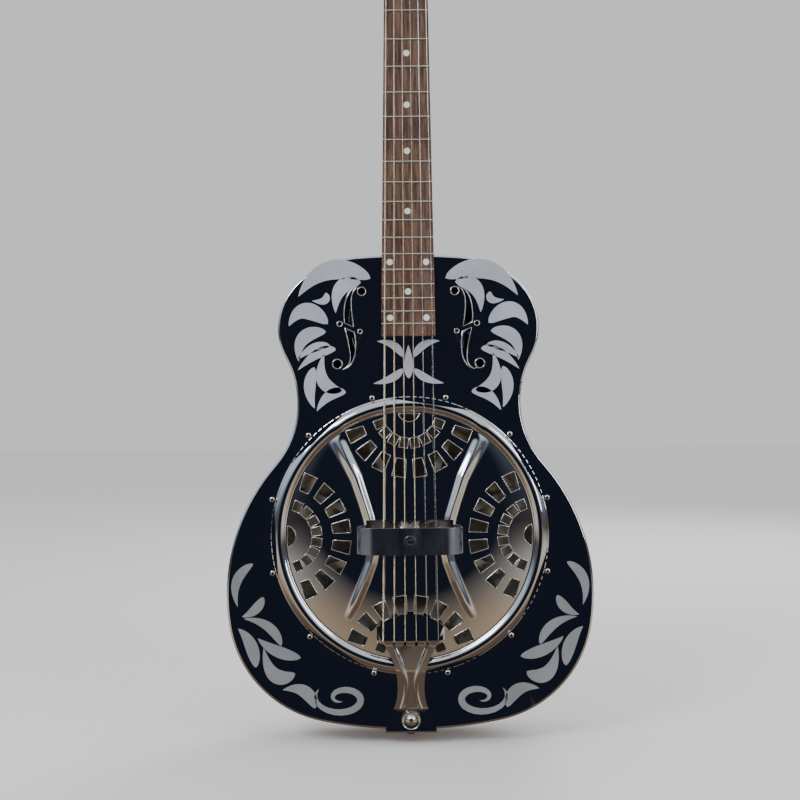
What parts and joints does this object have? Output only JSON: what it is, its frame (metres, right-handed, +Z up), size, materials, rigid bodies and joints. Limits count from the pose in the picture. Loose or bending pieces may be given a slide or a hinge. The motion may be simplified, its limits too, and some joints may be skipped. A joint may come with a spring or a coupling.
{
  "type": "resonator guitar",
  "caption": "Metal-bodied resonator guitar with a round perforated coverplate, spider bridge, hand rest, tailpiece and a three-a-side headstock.",
  "frame": {"origin": "on the centreline at the nut's upper face, on the fretboard's underside plane, where a wall hanger takes the headstock's foot", "axes": "+Z up along the hanging guitar, +Y to the back, +X to the treble side; the player's side faces -Y"},
  "size_m": [0.3754, 0.1119, 1.0254],
  "materials": {
    "chrome": "mirror-polished nickel-chrome plate on brass, ornament etched matt on the top",
    "inner_metal": "plain steel, out of sight",
    "stick_wood": "unfinished maple",
    "screw_nickel": "polished nickel",
    "cone_aluminium": "spun aluminium",
    "saddle_maple": "bare maple",
    "black_plastic": "black, satin",
    "neck_mahogany": "stained mahogany under satin lacquer",
    "board_rosewood": "oiled rosewood with streaks along the grain",
    "fret_nickel": "nickel silver, polished crown",
    "dot_pearl": "pearl",
    "nut_bone": "bone",
    "head_black": "black lacquered veneer",
    "brass": "plain brass",
    "plain_steel": "bright plain steel wire",
    "wound_bronze": "bronze-wound steel wire",
    "button_cream": "cream plastic"
  },
  "bodies": {
    "root": {"body_top": "chrome", "body_sides": "chrome", "body_back": "chrome", "cone_well": "inner_metal", "neck_stick": "stick_wood", "tail_block": "stick_wood", "coverplate": "chrome", "hand_rest": "chrome", "coverplate_screws": "screw_nickel", "resonator_cone": "cone_aluminium", "spider_bridge": "cone_aluminium", "saddle_inserts": "saddle_maple", "tailpiece": "chrome", "tailpiece_screw": "screw_nickel", "end_pin": "black_plastic", "neck": "neck_mahogany", "fretboard": "board_rosewood", "fret_wires": "fret_nickel", "position_dots": "dot_pearl", "nut": "nut_bone", "headstock_veneer": "head_black", "truss_rod": "inner_metal", "truss_rod_cover": "black_plastic", "headstock_screws": "screw_nickel", "string_1": "plain_steel", "string_2": "plain_steel", "string_3": "wound_bronze", "string_4": "wound_bronze", "string_5": "wound_bronze", "string_6": "wound_bronze", "string_ball_ends": "brass", "tuner_plate_bass": "chrome", "tuner_plate_treble": "chrome", "tuner_bushings": "screw_nickel"},
    "post_1": {"tuner_post_1": "screw_nickel", "tuner_gear_1": "brass"},
    "peg_1": {"tuner_worm_1": "screw_nickel", "tuner_button_1": "button_cream"},
    "post_2": {"tuner_post_2": "screw_nickel", "tuner_gear_2": "brass"},
    "peg_2": {"tuner_worm_2": "screw_nickel", "tuner_button_2": "button_cream"},
    "post_3": {"tuner_post_3": "screw_nickel", "tuner_gear_3": "brass"},
    "peg_3": {"tuner_worm_3": "screw_nickel", "tuner_button_3": "button_cream"},
    "post_4": {"tuner_post_4": "screw_nickel", "tuner_gear_4": "brass"},
    "peg_4": {"tuner_worm_4": "screw_nickel", "tuner_button_4": "button_cream"},
    "post_5": {"tuner_post_5": "screw_nickel", "tuner_gear_5": "brass"},
    "peg_5": {"tuner_worm_5": "screw_nickel", "tuner_button_5": "button_cream"},
    "post_6": {"tuner_post_6": "screw_nickel", "tuner_gear_6": "brass"},
    "peg_6": {"tuner_worm_6": "screw_nickel", "tuner_button_6": "button_cream"},
    "spider_screw": {"spider_screw": "screw_nickel"},
    "rod_nut": {"truss_rod_nut": "brass"}
  },
  "joints": [
    {"name": "peg_1_turn", "type": "hinge", "parent": "root", "child": "peg_1", "pos_m": [0.021, 0.03408, 0.04286], "axis": [1, 0, 0], "continuous": true},
    {"name": "post_1_turn", "type": "hinge", "parent": "root", "child": "post_1", "pos_m": [0.021, 0.03158, 0.03445], "axis": [0, -0.9588, 0.284], "continuous": true},
    {"name": "peg_2_turn", "type": "hinge", "parent": "root", "child": "peg_2", "pos_m": [0.021, 0.04444, 0.07785], "axis": [1, 0, 0], "continuous": true},
    {"name": "post_2_turn", "type": "hinge", "parent": "root", "child": "post_2", "pos_m": [0.021, 0.04195, 0.06945], "axis": [0, -0.9588, 0.284], "continuous": true},
    {"name": "peg_3_turn", "type": "hinge", "parent": "root", "child": "peg_3", "pos_m": [0.021, 0.05481, 0.11285], "axis": [1, 0, 0], "continuous": true},
    {"name": "post_3_turn", "type": "hinge", "parent": "root", "child": "post_3", "pos_m": [0.021, 0.05232, 0.10444], "axis": [0, -0.9588, 0.284], "continuous": true},
    {"name": "peg_4_turn", "type": "hinge", "parent": "root", "child": "peg_4", "pos_m": [-0.021, 0.05481, 0.11285], "axis": [1, 0, 0], "continuous": true},
    {"name": "post_4_turn", "type": "hinge", "parent": "root", "child": "post_4", "pos_m": [-0.021, 0.05232, 0.10444], "axis": [0, -0.9588, 0.284], "continuous": true},
    {"name": "peg_5_turn", "type": "hinge", "parent": "root", "child": "peg_5", "pos_m": [-0.021, 0.04444, 0.07785], "axis": [1, 0, 0], "continuous": true},
    {"name": "post_5_turn", "type": "hinge", "parent": "root", "child": "post_5", "pos_m": [-0.021, 0.04195, 0.06945], "axis": [0, -0.9588, 0.284], "continuous": true},
    {"name": "peg_6_turn", "type": "hinge", "parent": "root", "child": "peg_6", "pos_m": [-0.021, 0.03408, 0.04286], "axis": [1, 0, 0], "continuous": true},
    {"name": "post_6_turn", "type": "hinge", "parent": "root", "child": "post_6", "pos_m": [-0.021, 0.03158, 0.03445], "axis": [0, -0.9588, 0.284], "continuous": true},
    {"name": "spider_screw_turn", "type": "hinge", "parent": "root", "child": "spider_screw", "pos_m": [0, -0.02924, -0.64239], "axis": [0, -1, 0], "range_deg": [-180, 180]},
    {"name": "rod_nut_turn", "type": "hinge", "parent": "root", "child": "rod_nut", "pos_m": [0, 0.00628, 0.00623], "axis": [0, 0.0436, 0.999], "range_deg": [-180, 180]}
  ],
  "couplings": [
    {"joint": "post_1_turn", "follows": "peg_1_turn", "ratio": -0.071429},
    {"joint": "post_2_turn", "follows": "peg_2_turn", "ratio": -0.071429},
    {"joint": "post_3_turn", "follows": "peg_3_turn", "ratio": -0.071429},
    {"joint": "post_4_turn", "follows": "peg_4_turn", "ratio": 0.071429},
    {"joint": "post_5_turn", "follows": "peg_5_turn", "ratio": 0.071429},
    {"joint": "post_6_turn", "follows": "peg_6_turn", "ratio": 0.071429}
  ]
}
